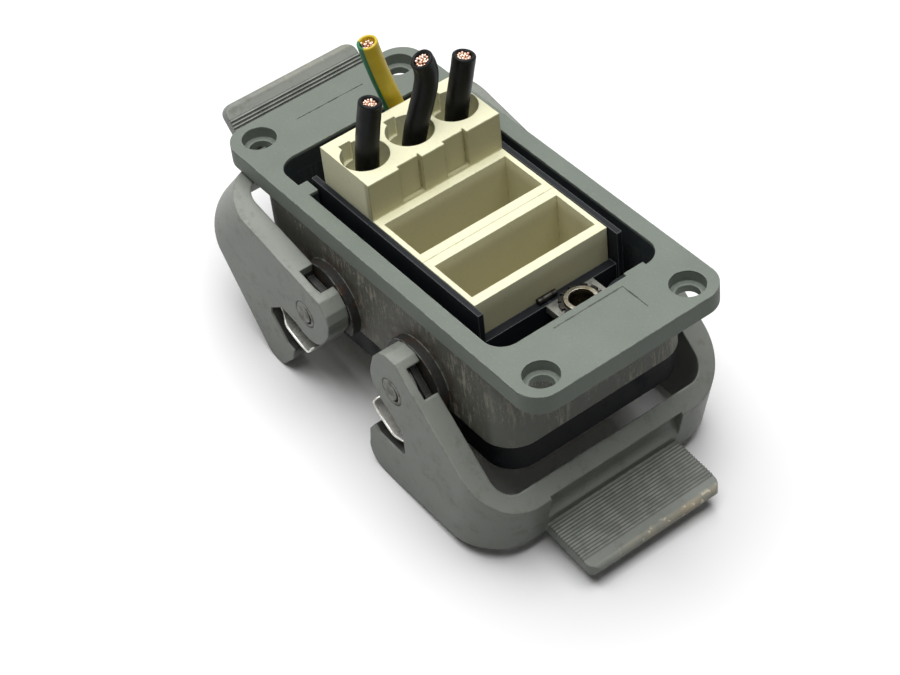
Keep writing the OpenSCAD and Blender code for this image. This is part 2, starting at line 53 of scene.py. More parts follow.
import bpy
import numpy as np
from mathutils import Matrix, Vector

mm = 0.001
print("measures below are in millimetres; Blender works in metres, so one is", mm)

# %% [markdown]
# ## Working with values instead of nodes
#
# A finish is a small calculation that Blender repeats at each point of the surface. Node by
# node that is hard to read, so we wrap a node's output in a class and let Python's own signs
# build the Math nodes. A line such as `0.5 + 0.2 * grain` then reads as what it does.

# %% A number that varies over the surface
class Value:
    """The output of a node. Signs such as + and * on it add a Math node."""

    def __init__(self, finish, socket):
        self.finish, self.socket = finish, socket

    def signed(self, operation, first, second=0):
        """One Math node on this value and, where the operation takes two, another."""
        return self.finish.value("Math", {"operation": operation}, {0: first, 1: second})

    def __add__(self, other): return self.signed("ADD", self, other)
    def __radd__(self, other): return self.signed("ADD", other, self)
    def __sub__(self, other): return self.signed("SUBTRACT", self, other)
    def __rsub__(self, other): return self.signed("SUBTRACT", other, self)
    def __mul__(self, other): return self.signed("MULTIPLY", self, other)
    def __rmul__(self, other): return self.signed("MULTIPLY", other, self)
    def __truediv__(self, other): return self.signed("DIVIDE", self, other)
    def __abs__(self): return self.signed("ABSOLUTE", self)
    def most(self, other): return self.signed("MAXIMUM", self, other)
    def fraction(self): return self.signed("FRACT", self)


print("signs that build nodes: + - * / abs, and the methods most and fraction")

# %% [markdown]
# ## Colours
#
# Paint is picked on a screen, but light adds up in linear steps. A colour written as a
# screen shows it is therefore turned into linear light once, when it is named.

# %% Colours are written as a screen shows them
def colour(red, green, blue):
    """0 to 255 screen values as linear light: the screen's own curve, undone. It is a short
    straight piece near black and a power of 2.4 above it."""
    share = np.array([red, green, blue]) / 255
    light = np.where(share <= 0.04045, share / 12.92, ((share + 0.055) / 1.055) ** 2.4)
    return (*light.tolist(), 1.0)


print("half grey on a screen is", round(colour(128, 128, 128)[0], 3), "in linear light")

# %% [markdown]
# ## One class per finish
#
# `Finish` holds one material. We build it up in three steps, so that each stays short: first
# what makes nodes at all, then what tells where a point lies, then the patterns themselves.
# The `node` method makes any node: settings first, because they decide which sockets exist,
# and then the sockets' values or links.

# %% What makes nodes
class Board:
    """A material whose nodes are made by `node` and `value`."""

    def __init__(self, name, **shader):
        self.material = bpy.data.materials.new(name)
        self.material.use_nodes = True
        self.tree = self.material.node_tree
        self.tree.nodes.clear()
        self.shader = self.node("BsdfPrincipled", {}, shader)
        self.node("OutputMaterial", {}, {"Surface": self.shader.outputs["BSDF"]})
        self.place = self.value("TexCoord", {}, {}, "Object")

    def node(self, kind, settings, sockets):
        """Any node: its settings first, then its sockets' values or links."""
        made = self.tree.nodes.new("ShaderNode" + kind)
        for name, setting in settings.items():
            setattr(made, name, setting)
        for name, given in sockets.items():
            given = given.socket if isinstance(given, Value) else given
            if isinstance(given, bpy.types.NodeSocket):
                self.tree.links.new(given, made.inputs[name])
            else:
                made.inputs[name].default_value = given
        return made

    def value(self, kind, settings, sockets, output=0):
        """One output of a node, ready for signs."""
        return Value(self, self.node(kind, settings, sockets).outputs[output])

    def set(self, **sockets):
        """Links or sets the shader's sockets; an underscore stands for a space."""
        for name, given in sockets.items():
            socket = self.shader.inputs[name.replace("_", " ")]
            if isinstance(given, Value):
                self.tree.links.new(given.socket, socket)
            else:
                socket.default_value = given


print("a board has the methods node, value and set")

# %% [markdown]
# ### Where a point lies
#
# Wear and painted shade follow the object: rust sits round a pivot, painted shade in a slot and
# low down. So every mask is worked out from the point's place on the object itself, in
# millimetres, and nothing slides when the camera moves. A mask is a number from 0 to 1 with
# soft steps between.

# %% Masks from a point's place
class Masks(Board):
    """A board that knows how far along, how near and how deep a point lies."""

    def along(self, axis):
        """How far along X, Y or Z the point lies, in millimetres."""
        return self.value("SeparateXYZ", {}, {0: self.place}, axis) / mm

    def at(self, stretch=(1, 1, 1), shift=(0, 0, 0)):
        """The place on the object, stretched and then shifted by millimetres."""
        moved = {0: self.place, 1: [s * mm for s in shift], 3: stretch}
        return self.value("Mapping", {}, moved)

    def rise(self, value, low, high):
        """0 below low, 1 above high, with a soft step between them."""
        return self.value("MapRange", {"interpolation_type": "SMOOTHSTEP"},
                          {"Value": value, "From Min": low, "From Max": high})

    def fall(self, value, low, high):
        """The opposite step: 1 below low, 0 above high."""
        return 1 - self.rise(value, low, high)

    def between(self, value, start, stop):
        """1 between two soft steps, each given as a pair of low and high."""
        return self.rise(value, *start) * self.fall(value, *stop)

    def near(self, point, radius, soft, stretch=(1, 1, 1)):
        """1 within a radius of a point, fading to 0. A stretch of 0 ignores that axis."""
        centre = [p * s * mm for p, s in zip(point, stretch)]
        away = self.value("VectorMath", {"operation": "DISTANCE"},
                          {0: self.at(stretch), 1: centre}, 1)
        return self.fall(away / mm, radius - soft, radius)

    def sunk(self, x, y, radius, rim):
        """1 inside an upright hole, fading to 0 at its rim."""
        return self.near((x, y, 0), radius, 0.1, (1, 1, 0)) * self.fall(
            self.along("Z"), rim - 1.2, rim - 0.2)


print("masks: along, at, rise, fall, between, near and sunk")

# %% [markdown]
# ### Patterns and edges
#
# Three things make a plain surface look real: clouds of uneven colour, edges that catch the
# light or lose their paint, and small bumps. Noise gives the clouds. The Bevel node rounds an
# edge for the light only, and how far it turns the surface tells us where an edge is.

# %% The finish itself
class Finish(Masks):
    """A material with clouds, edges and bumps."""

    def mix(self, first, second, share):
        """The second colour over the first one, by a share from 0 to 1."""
        layers = {0: share, 6: first, 7: second}
        return self.value("Mix", {"data_type": "RGBA"}, layers, 2)

    def noise(self, size, detail=3.0, stretch=(1, 1, 1), rough=0.55, shift=(0, 0, 0)):
        """Cloudy variation around 0.5, with clouds of about this many millimetres."""
        return self.value("TexNoise", {}, {
            "Vector": self.at(stretch, shift), "Scale": 1 / (size * mm),
            "Detail": detail, "Roughness": rough})

    def eased(self, radius):
        """The surface's direction as if its edges were rounded to this radius."""
        return self.value("Bevel", {"samples": 6}, {"Radius": radius * mm})

    def edge(self, radius):
        """1 along outer and inner edges, 0 on open faces."""
        straight = self.value("NewGeometry", {}, {}, "Normal")
        return 1 - self.value("VectorMath", {"operation": "DOT_PRODUCT"},
                              {0: self.eased(radius), 1: straight}, "Value")

    def relief(self, height, depth, normal=None):
        """Small bumps: height from 0 to 1, depth in millimetres."""
        sockets = {"Height": height, "Distance": depth * mm, "Strength": 1.0}
        if normal is not None:
            sockets["Normal"] = normal
        return self.value("Bump", {}, sockets)


def dress(finish, *names):
    """Gives a finish to solids that keep their own shape."""
    for name in names:
        nodes[name].data.materials.clear()
        nodes[name].data.materials.append(finish.material)
    print(finish.material.name, "on", len(names), "solids,",
          len(finish.tree.nodes), "nodes")


# %% [markdown]
# ## The painted housing
#
# The housing is cast aluminium with a satin grey-green coat. Handling leaves it uneven: the
# long walls under the flange have been rubbed by the hood, so their coat is streaked from top
# to bottom, and around the lever pivots steel has rusted and stained it brown. We start with
# the even coat, then lay each kind of wear and of painted shade over it with its own mask.

# %% Even coat, with specks and pale flecks
coat = Finish("housing_coat", Metallic=0.0)
coat.set(Specular_IOR_Level=0.3)
length, width, height = (coat.along(axis) for axis in "XYZ")
grain = coat.noise(0.5, 2)
speck = coat.rise(coat.noise(0.8, 4, rough=0.7), 0.6, 0.72)
tone = coat.mix(colour(100, 108, 100), colour(121, 128, 119), coat.noise(14, 4))
tone = coat.mix(tone, colour(94, 99, 90), speck * 0.5)
tone = coat.mix(tone, colour(148, 156, 148), coat.rise(grain, 0.55, 0.75) * 0.22)
print("even coat:", len(coat.tree.nodes), "nodes")

# %% [markdown]
# ### Rubbed walls
#
# The hood slides up and down the walls. It leaves upright streaks of bare, pale metal and some
# slanted scratches, in patches. Noise stretched along Z gives the streaks, and a second noise
# of larger clouds says where they are.

# %% The rubbed walls under the flange
flange_foot = (-4.6, -3.9)      # heights between which the flange ends and a wall begins
wall_face = (20.6, 21.1)        # distances from the middle at which a long wall's face begins
under = coat.fall(height, *flange_foot)
long_wall = under * coat.rise(abs(width), *wall_face)
streak = coat.noise(0.9, 5, (1, 1, 0.14), 0.75)
slanted = coat.noise(0.7, 5, (1, 1, 0.5), 0.8, (3, 5, 7))
patch = coat.rise(coat.noise(8, 3), 0.4, 0.58)
bare = under * patch * coat.rise(streak, 0.5, 0.62).most(coat.rise(slanted, 0.54, 0.64))
# The walls under the flange are set to a flat grey, and the long walls are painted much darker:
# painted shade under the overhanging flange.
tone = coat.mix(tone, colour(106, 108, 101), under * 0.9)
tone = coat.mix(tone, colour(78, 78, 70), long_wall * 0.9)
tone = coat.mix(tone, colour(176, 171, 156), bare * 0.7)
print("walls under the flange, from", flange_foot[0], "mm down")

# %% [markdown]
# ### Rust round the pivots
#
# The pivot pins are steel and sit in bosses that water runs past, so rust has crept out over
# the wall. The pins tell us where: the mask is a wide soft circle round each pin's axis, broken
# up by noise, and a hard one for the boss itself, painted nearly black as painted shade between
# the lever's ear and the wall, with rust in it.

# %% Stains and bosses
pin_low, pin_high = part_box("pivot_pin_front_near")
pivot_x, pivot_z = (round((pin_low[i] + pin_high[i]) / 2 / mm, 2) for i in (0, 2))
pivots = [(pivot_x, 0, pivot_z), (-pivot_x, 0, pivot_z)]
boss_face = (21.25, 21.35)      # just below the bosses' faces


def round_pivots(radius, soft):
    """1 within a radius of either pivot's axis, whichever is nearer."""
    front, rear = (coat.near(pivot, radius, soft, (1, 0, 1)) for pivot in pivots)
    return front.most(rear)


rusty = coat.noise(2.6, 6, rough=0.7)
stain = round_pivots(14, 8) * long_wall * coat.rise(rusty, 0.42, 0.58)
boss = round_pivots(8.4, 0.2) * coat.rise(abs(width), *boss_face)
boss_shade_and_rust = coat.mix(colour(24, 24, 23), colour(62, 40, 22), coat.rise(rusty, 0.5, 0.66))
tone = coat.mix(tone, colour(52, 30, 15), stain * 0.9)
# painted shade on the bosses between the lever and the wall, with rust spots in it
tone = coat.mix(tone, boss_shade_and_rust, boss * 0.9)
print("pivots at", pivots)

# %% [markdown]
# ### Inside, lines and edges
#
# Inside the window the coat is painted dark blue-grey, as painted shade deep in the window. The
# shallow lines in the flange's face are painted darker, as painted shade in the grooves. Last
# come
# the edges: the Bevel node finds them, and noise decides which stretches are lightened, partly
# as lost paint and partly as painted highlight.

# %% Painted shade inside and in the lines, chipped and highlighted edges
inside = (coat.fall(abs(length), 33.05, 33.25) * coat.fall(abs(width), 18.35, 18.55)
          * coat.fall(height, -0.9, -0.3))
line = (coat.between(abs(length), (34.4, 34.6), (42.4, 42.6))
        * coat.between(height, (-0.3, -0.25), (-0.1, -0.04)))
chips_and_highlight = coat.rise(coat.edge(0.45), 0.03, 0.12) * coat.rise(coat.noise(2.2, 4), 0.42, 0.55)
# painted shade inside the window
tone = coat.mix(tone, colour(26, 32, 38), inside * 0.92)
# painted shade in the flange's grooves
tone = coat.mix(tone, colour(58, 62, 57), line * 0.75)
# paint worn off the edges, mixed with painted highlight along them
tone = coat.mix(tone, colour(166, 172, 165), chips_and_highlight * (1 - inside * 0.7) * 0.5)
coat.set(Base_Color=tone, Roughness=0.45 + 0.25 * grain + 0.1 * bare,
         Normal=coat.relief(grain + streak * under * 2, 0.05, coat.eased(0.4)))
dress(coat, "housing_shell")

# %% [markdown]
# ## The levers
#
# Both levers are castings too, smoother and a little warmer than the housing. Their wear
# belongs to the lever and not to the room, so each mask is written in the lever's own
# directions: out along the closed lever from the pivot, and up from it. The rear lever is the
# front one mirrored and turned open, so its directions are mirrored and turned with it.

# %% Where a lever's own directions point
open_angle = math.radians(54)
leaning, lifted = math.cos(open_angle), math.sin(open_angle)


def from_lever(out, across, high, rear):
    """Moves a place given from a lever's pivot to where it lies on the connector. The rear
    lever is the mirror image of the front one, turned open about its pivot."""
    if not rear:
        return np.stack([pivot_x + out, across, pivot_z + high], -1)
    x = high * lifted - out * leaning - pivot_x
    z = out * lifted + high * leaning + pivot_z
    return np.stack([x, across, z], -1)


def to_lever(x, z, rear):
    """The opposite way: how far out and how high a point of the surface lies on its lever."""
    if not rear:
        return x - pivot_x, z - pivot_z
    x, z = x + pivot_x, z - pivot_z
    return z * lifted - x * leaning, x * lifted + z * leaning


print("the open lever's handle ends at", from_lever(37, 0, -25, True).round(1))

# %% [markdown]
# ### Shaded hollows
#
# The ear, its notch and the hook slot are hollow, and they are painted nearly black inside as
# painted shade. Light would fill them if they were left in the coat's own grey. Each hollow is a
# box or a round in the lever's directions.

# %% Masks for the hollows of an ear
def hollows(cast, out, across, high):
    """1 where the slot's walls, the ear's inside or the notch behind the lug lie."""
    reach = out * out + high * high
    slot = (cast.between(across, (23.6, 23.8), (27.5, 27.8))
            * cast.between(out, (-8.4, -7.6), (1.7, 1.8))
            * cast.between(high, (-15.9, -15.7), (-7.5, -6.5)))
    ear = cast.between(across, (24.7, 24.8), (26.4, 26.5)) * cast.fall(reach, 28, 31)
    notch = (cast.between(across, (23.5, 23.6), (26.4, 26.5)) * cast.rise(out, 1.4, 1.6)
             * cast.rise(high, -0.1, 0.1) * cast.fall(reach, 44, 48))
    return slot.most(ear).most(notch)


print("an ear has three hollows: slot, ear and notch")

# %% [markdown]
# ### The ribbed handle
#
# Fourteen ribs keep a thumb from slipping. The valleys between them are painted darker, as
# painted shade, and the handle's rounded lip has lost its coat, in a warm worn band with a few
# bright chipped spots. The ribs repeat, so the fraction of the distance over the pitch tells how
# far a point is between two.

# %% Masks for the handle
handle_fall = 0.13              # the handle drops by this share of its length
rib_start, rib_pitch, rib_top = 25.86, 0.66, 0.35


def valleys(cast, out, across, high):
    """1 between two ribs: the fraction of a rib's pitch, away from where its top is."""
    face = high + handle_fall * out
    ribbed = (cast.between(out, (25.7, 25.8), (35.1, 35.2)) * cast.fall(across, 15.2, 15.3)
              * cast.between(face, (-20.6, -20.4), (-19.5, -19.4)))
    turn = ((out - rib_start) / rib_pitch).fraction()
    return ribbed * cast.rise(abs(turn - rib_top), 0.2, 0.4)


def worn_lip(cast, out):
    """Two masks for the lip: a soft worn band towards +Y, and bright chipped spots in it."""
    lip = cast.rise(out, 36.2, 37.2) * cast.rise(cast.along("Y"), -12, 2)
    band = lip * cast.rise(cast.noise(5, 4, shift=(1, 4, 2)), 0.3, 0.6)
    return band, lip * cast.rise(cast.noise(1.4, 2, shift=(4, 1, 2)), 0.6, 0.66)


print("ribs from", rib_start, "mm out, every", rib_pitch, "mm")

# %% [markdown]
# ### The levers' coat
#
# Now the layers go on in this order: coat, polish and painted highlight on the creases, soil,
# scratches, painted shade between the ribs and in the hollows, and worn metal last. The open
# lever's lip is hardly worn, so the same masks count for less there.

# %% Lever casting
def casting(name, rear):
    """The lever's finish: cloudy coat, creases with polish and painted highlight, soil,
    scratches, painted shade in the hollows and between the ribs.
    """
    cast = Finish(name, Metallic=0.0)
    cast.set(Specular_IOR_Level=0.45)
    out, high = to_lever(cast.along("X"), cast.along("Z"), rear)
    across = abs(cast.along("Y"))
    cloud, grain = cast.noise(12, 3), cast.noise(0.4, 2)
    polish_and_highlight = cast.rise(cast.edge(0.8), 0.02, 0.15) * cast.rise(cast.noise(3, 4), 0.4, 0.6)
    soil = cast.rise(cast.noise(3, 8, rough=0.75, shift=(3, 8, 1)), 0.5, 0.72)
    scratch = cast.rise(cast.noise(0.5, 4, (0.25, 1, 1), 0.8, (2, 9, 4)), 0.66, 0.74)
    band, chip = worn_lip(cast, out)
    tone = cast.mix(colour(114, 118, 111), colour(132, 136, 128), cloud)
    # painted highlight on the creases and edges, partly as worn polish
    tone = cast.mix(tone, colour(166, 169, 162), polish_and_highlight * 0.45)
    tone = cast.mix(tone, colour(78, 72, 58), soil * 0.4)
    tone = cast.mix(tone, colour(170, 172, 164), scratch * 0.2)
    # painted shade in the valleys between the ribs
    tone = cast.mix(tone, colour(62, 64, 57), valleys(cast, out, across, high) * 0.7)
    # painted shade: the slot, the ear's inside and the notch nearly black
    tone = cast.mix(tone, colour(22, 22, 21), hollows(cast, out, across, high) * 0.93)
    tone = cast.mix(tone, colour(176, 160, 132), band * (0.15 if rear else 0.6))
    tone = cast.mix(tone, colour(222, 212, 186), chip * (0.1 if rear else 0.7))
    cast.set(Base_Color=tone, Roughness=0.36 + 0.2 * grain + 0.1 * soil,
             Normal=cast.relief(grain + cloud, 0.03, cast.eased(0.6)))
    return cast


dress(casting("front_lever_casting", False), "front_lever")
dress(casting("rear_lever_casting", True), "rear_lever")

# %% [markdown]
# ## Small steel pieces
#
# Pins, screws, springs and the earth terminals are plated steel. Their difference is mostly
# how rough and how dark they are, so one function makes them all. Metals have no colour of
# their own under a coat: what we call their colour is how they tint what they mirror.

# %% Plated steel in several ages
def steel(name, fresh, aged, rough, metal=1.0, rounding=0.15, hollow=None):
    """Plated steel: fresh and aged colours mixed by a cloud, with fine brushed grain. A hollow,
    given by its axis, radius and rim, is painted dark below the rim, as painted shade."""
    made = Finish(name, Metallic=metal)
    age = made.rise(made.noise(1.6, 4), 0.4, 0.65)
    brushed = made.noise(0.25, 2, (1, 1, 0.2))
    tone = made.mix(colour(*fresh), colour(*aged), age)
    if hollow is not None:
        # painted shade below the rim of the hole
        tone = made.mix(tone, colour(58, 52, 34), made.sunk(*hollow) * 0.8)
    made.set(Base_Color=tone, Roughness=rough + 0.18 * age,
             Normal=made.relief(brushed, 0.006, made.eased(rounding)))
    return made


dress(steel("pin_steel", (120, 122, 116), (92, 90, 82), 0.5, 0.25, 0.2),
      *[name for name in nodes if name.startswith("pivot_pin")])
dress(steel("dull_plate", (128, 129, 122), (92, 90, 84), 0.42, 0.6), "earth_plate_front")
dress(steel("plated_steel", (190, 191, 184), (150, 150, 140), 0.35),
      "earth_plate_rear", "earth_saddle_rear", "earth_screw_rear", "frame_screws",
      "axial_screw_near", "axial_screw_mid", "axial_screw_far")
dress(steel("dark_steel", (66, 64, 60), (34, 32, 30), 0.4),
      "frame_latch", "frame_hinge", "earth_washer_front")

# %% [markdown]
# ### The threaded collar
#
# The front earth terminal is a threaded collar. Its hole is deep and narrow, so it is painted
# darker than the collar's rim, as painted shade. The collar's own points tell where its axis is,
# how wide the hole is and how high the rim stands.

# %% Collar with a dark hole
collar = np.array([v.co for v in nodes["earth_collar_front"].data.vertices]) / mm
axis = (collar.min(0) + collar.max(0)) / 2
bore = np.hypot(collar[:, 0] - axis[0], collar[:, 1] - axis[1]).min()
dress(steel("bright_collar", (186, 182, 168), (112, 104, 86), 0.25,
            hollow=(axis[0], axis[1], bore + 0.2, collar[:, 2].max())), "earth_collar_front")
print("the collar's hole is", round(2 * bore, 1), "mm wide")

# %% [markdown]
# ## The frame that holds the modules
#
# The module frame is dull cast zinc. It is painted almost black, as painted shade in the narrow
# gaps round it, and its edges are painted bright, as painted highlight. A little Metallic is
# enough, because the cast skin is rough.

# %% Zinc frame
zinc = Finish("zinc_frame", Metallic=0.1)
zinc.set(Specular_IOR_Level=0.2)
cloud = zinc.noise(5, 4)
edge_highlight = zinc.rise(zinc.edge(0.3), 0.03, 0.15)
# painted shade: a nearly black coat, for the shade in the narrow gaps round the frame
tone = zinc.mix(colour(13, 16, 19), colour(29, 32, 36), cloud)
# painted highlight along the edges
tone = zinc.mix(tone, colour(128, 132, 130), edge_highlight * 0.6)
zinc.set(Base_Color=tone, Roughness=0.45 + 0.2 * cloud,
         Normal=zinc.relief(zinc.noise(0.4, 2), 0.02, zinc.eased(0.2)))
dress(zinc, "frame_half_near", "frame_half_far")

# %% [markdown]
# ## Cream plastic
#
# The modules are glass filled plastic that has yellowed in patches and picked up grey finger
# marks along its edges. It is painted darker low down, as painted shade deep in the window, and
# on the face of the power module that looks at the empty ones, as painted shade on that side.

# %% Cream plastic
cream = Finish("cream_plastic", Metallic=0.0)
cream.set(Specular_IOR_Level=0.35)
speck = cream.noise(0.6, 3)
low = cream.fall(cream.along("Z"), -2.5, 0.6)
face = (cream.between(cream.along("X"), (-9, -8.1), (-7.34, -7.3))
        * cream.between(cream.along("Z"), (0.9, 1.1), (8.6, 8.95)))
grime = cream.rise(cream.edge(0.5), 0.03, 0.2) * cream.rise(cream.noise(1.5, 4), 0.48, 0.62)
tone = cream.mix(colour(226, 224, 188), colour(238, 236, 204), cream.noise(8, 4))
tone = cream.mix(tone, colour(196, 190, 152), cream.rise(speck, 0.55, 0.75) * 0.35)
# painted shade: darker low down, deep in the window
tone = cream.mix(tone, colour(176, 168, 128), low * 0.6)
# painted shade on the power module's side that faces the empty modules
tone = cream.mix(tone, colour(168, 162, 122), face * 0.8)
tone = cream.mix(tone, colour(128, 118, 88), grime * 0.45)
cream.set(Base_Color=tone, Roughness=0.55 + 0.15 * speck,
          Normal=cream.relief(speck, 0.015, cream.eased(0.25)))
dress(cream, "power_module_body", "blank_module_mid", "blank_module_front")

# %% [markdown]
# ## Contacts and seal
#
# The sockets at the bottom of the wells are silvered and slightly tarnished, so they take the
# steel's recipe in warmer colours. The seal is plain black rubber with some dust on it, and
# hardly any shine.

# %% Contacts and seal
dress(steel("silvered_contact", (206, 196, 168), (170, 150, 110), 0.3),
      "contact_near", "contact_mid", "contact_far")
rubber = Finish("seal_rubber")
rubber.set(Specular_IOR_Level=0.1)
dust = rubber.rise(rubber.noise(4, 4), 0.45, 0.75)
rubber.set(Base_Color=rubber.mix(colour(6, 7, 9), colour(20, 22, 24), dust),
           Roughness=0.5 + 0.3 * dust,
           Normal=rubber.relief(rubber.noise(0.5, 2), 0.02, rubber.eased(0.4)))
dress(rubber, "rim_seal")

# %% [markdown]
# ## Cut wires
#
# The wires are swept surfaces: a circle carried along a smooth curve. Working them out with
# numpy keeps full control of the cut end, where the insulation has a small rounded rim and
# the strands stand a little apart. The curve is a cubic Bezier, the same as the solids use.

# %% A curve and the directions across it
def curve(route, share):
    """A cubic Bezier at each share t from 0 to 1 of its length. With s = 1 - t the point is
    s^3 a + 3 s^2 t b + 3 s t^2 c + t^3 d, and the heading is its slope, made one long. The
    two directions across are the Y axis crossed with the heading, and the heading crossed
    with that."""
    a, b, c, d = np.array(route, float)
    t = np.clip(np.asarray(share, float)[:, None], 0, 1)
    s = 1 - t
    point = s ** 3 * a + 3 * s ** 2 * t * b + 3 * s * t ** 2 * c + t ** 3 * d
    heading = s ** 2 * (b - a) + 2 * s * t * (c - b) + t ** 2 * (d - c)
    heading /= np.linalg.norm(heading, axis=1)[:, None]
    side = np.cross([0.0, 1.0, 0.0], heading)
    side /= np.linalg.norm(side, axis=1)[:, None]
    return point, heading, side, np.cross(heading, side)


straight_up = [(0, 0, 0), (0, 0, 1), (0, 0, 2), (0, 0, 3)]
print("half way up a straight wire of 3 mm:", curve(straight_up, [0.5])[0][0])

# %% [markdown]
# ### From a grid to a mesh
#
# Each swept piece is a grid of points, rings by sides. Neighbours on the grid make a
# four-cornered face, the last side joins the first, and the first and last ring are closed
# with one face each. The grid also gives a UV map for free: how far round and how far along.

# %% A mesh from rings of points
def surface(name, grid):
    """Points (ring, side) as a closed mesh. The UV map's X is side / sides, where the face
    that closes a ring goes on to 1, and its Y is ring / (rings - 1)."""
    rings, sides, _ = grid.shape
    ring, side = np.meshgrid(np.arange(rings - 1), np.arange(sides), indexing="ij")
    here, there = ring * sides + side, ring * sides + (side + 1) % sides
    faces = np.stack([here, there, there + sides, here + sides], -1).reshape(-1, 4).tolist()
    faces.append(list(range(sides))[::-1])
    faces.append(list(range((rings - 1) * sides, rings * sides)))
    mesh = bpy.data.meshes.new(name)
    mesh.from_pydata((grid.reshape(-1, 3) * mm).tolist(), [], faces)
    corner = np.zeros(len(mesh.loops), int)
    mesh.loops.foreach_get("vertex_index", corner)
    spot = np.stack([corner % sides / sides, corner // sides / (rings - 1)], -1)
    spot[:4 * side.size, 0] = np.stack([side, side + 1, side + 1, side], -1).ravel() / sides
    unrolled = mesh.uv_layers.new(name="around")
    unrolled.data.foreach_set("uv", spot.astype(np.float32).ravel())
    mesh.polygons.foreach_set("use_smooth", [True] * len(mesh.polygons))
    mesh.update()
    piece = bpy.data.objects.new(name, mesh)
    bpy.context.scene.collection.objects.link(piece)
    return piece


def ring_of(sides):
    """Angles of so many equal steps round a circle."""
    return np.linspace(0, 2 * np.pi, sides + 1)[:-1]


print("a ring of four sides turns by", np.degrees(ring_of(4)))

# %% [markdown]
# ### Insulation
#
# A cut wire's jacket is a tube whose cut edge is never sharp. So the profile goes up the
# outside, over a small half round rim and down inside to a floor just below the cut, where the
# strands hide it. A faint ripple keeps the soft jacket from looking like a rod.

# %% Insulation with a rounded rim
bore_floor = (0.8, 1.6)         # depths of the bore's last two rings below the cut


def insulation(name, route, radius, bore, seed, wave=0.03):
    """A profile of (share along, depth below the cut, radius) turned round the curve. The rim
    is half a circle as wide as the wall. The wall's radius r becomes
    r - |wave sin(17 share + start + 2 sin(angle))|."""
    turn = ring_of(32)
    wall = np.linspace(0, 1, 40)
    over = np.linspace(0, np.pi, 7)[1:]
    lip = (radius - bore) / 2
    share = np.concatenate([wall, np.ones(len(over) + 2)])
    below = np.concatenate([wall * 0, lip - lip * np.sin(over), bore_floor])
    below[len(wall) - 1] = lip
    wide = np.concatenate([wall * 0 + radius, bore + lip + lip * np.cos(over), [bore, bore]])
    point, heading, side, lift = (v[:, None] for v in curve(route, share))
    start = np.random.default_rng(seed).uniform(0, 6)
    ripple = wave * (share < 1)[:, None] * np.sin(share[:, None] * 17 + start
                                                  + 2 * np.sin(turn))
    reach = (wide[:, None] - np.abs(ripple))[..., None]
    turn = turn[None, :, None]
    return surface(name, point - heading * below[:, None, None]
                   + reach * (np.cos(turn) * side + np.sin(turn) * lift))


print("the bore's floor is", bore_floor[1], "mm below the cut")

# %% [markdown]
# ### Strands
#
# A stranded wire is laid in rings: one strand in the middle, six round it and twelve round
# those. Nothing cuts them level, so each short rod gets its own height, with a domed end that
# catches the light.

# %% Strands laid in rings
def joined(name, parts):
    """Several meshes made into one piece."""
    with bpy.context.temp_override(active_object=parts[0], selected_editable_objects=parts,
                                   selected_objects=parts):
        bpy.ops.object.join()
    parts[0].name = parts[0].data.name = name
    return parts[0]


def strands(name, route, bore, low, seed):
    """Strand i of ring k (0, 1 or 2) stands at k strand widths from the middle. A rod's rings
    are its foot, its shoulder, and two narrower ones that make the dome. The tops lie at
    random from 0.1 to 1 times low below the wire's end."""
    ring = np.concatenate([[0], np.ones(6), 2 * np.ones(12)])
    angle = np.concatenate([[0], np.arange(6) / 6, np.arange(12) / 12 + 0.03]) * 2 * np.pi
    radius = bore / 5.1
    point, heading, side, lift = (v[0] for v in curve(route, [1.0]))
    centre = 2 * radius * ring[:, None] * (np.cos(angle)[:, None] * side
                                           + np.sin(angle)[:, None] * lift)
    top = -low * np.random.default_rng(seed).uniform(0.1, 1.0, len(ring))
    foot, dome = -1.9, (-0.18, -0.06, 0.0)
    level = np.column_stack([top * 0 + foot, *[top + step for step in dome]])
    wide = np.array([1.0, 1.0, 0.86, 0.5])[:, None, None]
    turn = ring_of(8)[None, :, None]
    round_ = radius * wide * (np.cos(turn) * side + np.sin(turn) * lift)
    grid = point + centre[:, None, None] + level[..., None, None] * heading + round_[None]
    return joined(name, [surface(f"{name}_{i}", rod) for i, rod in enumerate(grid)])


print("strands are laid as one, six and twelve")

# %% [markdown]
# ### Wire finishes
#
# Black insulation is soft PVC with a waxy shine. The earth wire is yellow with a green stripe
# on one side, and the stripe follows the wire, so it reads the surface's own UV map instead
# of the place in space. The strands are copper, tinned in patches.

# %% Black, green and yellow, copper
black = Finish("black_insulation")
black.set(Specular_IOR_Level=0.15)
scuff = black.rise(black.noise(1.8, 4, (1, 1, 0.4)), 0.5, 0.75)
black.set(Base_Color=black.mix(colour(6, 7, 8), colour(20, 21, 22), scuff),
          Roughness=0.38 + 0.25 * scuff, Normal=black.relief(black.noise(0.5, 3), 0.03))

striped = Finish("earth_insulation")
unrolled = striped.value("UVMap", {"uv_map": "around"}, {})
round_wire = striped.value("SeparateXYZ", {}, {0: unrolled}, "X")
green = striped.between(round_wire, (0.58, 0.60), (0.83, 0.85))
dull = striped.noise(2.2, 4)
tone = striped.mix(colour(214, 190, 32), colour(190, 160, 24), dull)
striped.set(Base_Color=striped.mix(tone, colour(28, 108, 70), green),
            Roughness=0.4 + 0.15 * dull, Normal=striped.relief(striped.noise(0.6, 3), 0.03))

copper = Finish("copper_strands", Metallic=0.9)
tin = copper.rise(copper.noise(0.5, 2), 0.45, 0.6)
copper.set(Base_Color=copper.mix(colour(216, 168, 144), colour(240, 228, 216), tin),
           Roughness=0.3 + 0.2 * tin)
print("wire finishes:", *[made.material.name for made in (black, striped, copper)])

# %% [markdown]
# ### The four wires
#
# Three black wires stand in the power module's wells, and the earth wire in the rear earth
# clamp. Their routes are those of the solids they replace. They are cut off short and stiff,
# so they simply ride on the housing.

